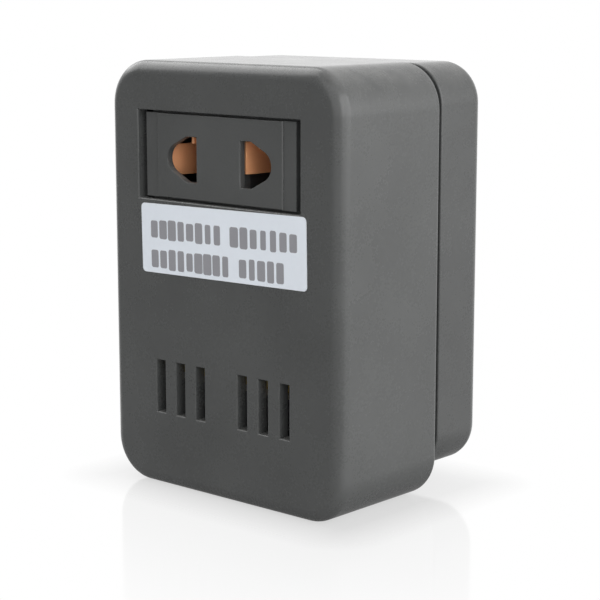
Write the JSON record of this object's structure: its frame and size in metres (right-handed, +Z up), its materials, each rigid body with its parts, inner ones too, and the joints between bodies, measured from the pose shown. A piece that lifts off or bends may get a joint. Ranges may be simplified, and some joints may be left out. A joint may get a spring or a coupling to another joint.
{
  "type": "travel voltage converter",
  "caption": "Matt dark-grey plug-in step-down converter: round-cornered two-shell case with a recessed universal outlet, label and vent slots on its front, and round plug pins on its rear.",
  "frame": {"origin": "centre of the part's box at the level of the base it stands on", "axes": "+Z up, -Y towards the outlet on the front, +Y towards the plug pins on the rear, +X to the right seen from the front"},
  "size_m": [0.054, 0.0584, 0.0755],
  "materials": {
    "case_plastic": "fine moulded texture, matt dark grey",
    "plate_plastic": "matt dark grey",
    "carrier_plastic": "matt black",
    "label_film": "white printed film",
    "contact_copper": "stamped copper alloy",
    "nickel_brass": "nickel-plated",
    "zinc_steel": "zinc-plated",
    "fibre_board": "pressed board",
    "core_steel": "stacked silicon steel, varnished",
    "clip_steel": "plated sheet",
    "bobbin_nylon": "moulded nylon",
    "tinned_pin": "tinned",
    "enamelled_copper": "enamelled wire",
    "yellow_tape": "polyester tape",
    "fuse_can": "plain can",
    "red_insulation": "extruded",
    "blue_insulation": "extruded",
    "yellow_insulation": "extruded",
    "black_insulation": "extruded"
  },
  "bodies": {
    "converter": {"front_shell": "case_plastic", "rear_shell": "case_plastic", "case_screws": "zinc_steel", "rating_label": "label_film", "outlet_plate": "plate_plastic", "contact_carrier": "carrier_plastic", "carrier_screws": "zinc_steel", "left_terminal": "contact_copper", "right_terminal": "contact_copper", "left_plug_pin": "nickel_brass", "right_plug_pin": "nickel_brass", "pin_retainer": "fibre_board", "retainer_screws": "zinc_steel", "e_laminations": "core_steel", "i_laminations": "core_steel", "core_clip": "clip_steel", "bobbin": "bobbin_nylon", "bobbin_terminals": "tinned_pin", "inner_winding": "enamelled_copper", "layer_tape": "yellow_tape", "outer_winding": "enamelled_copper", "outer_tape": "yellow_tape", "thermal_fuse": "fuse_can", "pin_to_fuse_lead": "red_insulation", "fuse_to_winding_lead": "red_insulation", "pin_to_winding_lead": "blue_insulation", "left_outlet_lead": "yellow_insulation", "right_outlet_lead": "black_insulation"},
    "left_leaf": {"left_contact_leaf": "contact_copper"},
    "right_leaf": {"right_contact_leaf": "contact_copper"}
  },
  "joints": [
    {"name": "left_leaf_flex", "type": "hinge", "parent": "converter", "child": "left_leaf", "pos_m": [-0.01315, -0.01024, 0.0589], "axis": [0, 0, -1], "range_deg": [0, 4], "stiffness_Nm_per_rad": 0.75},
    {"name": "right_leaf_flex", "type": "hinge", "parent": "converter", "child": "right_leaf", "pos_m": [0.01175, -0.01024, 0.0589], "axis": [0, 0, 1], "range_deg": [0, 4], "stiffness_Nm_per_rad": 0.75}
  ]
}
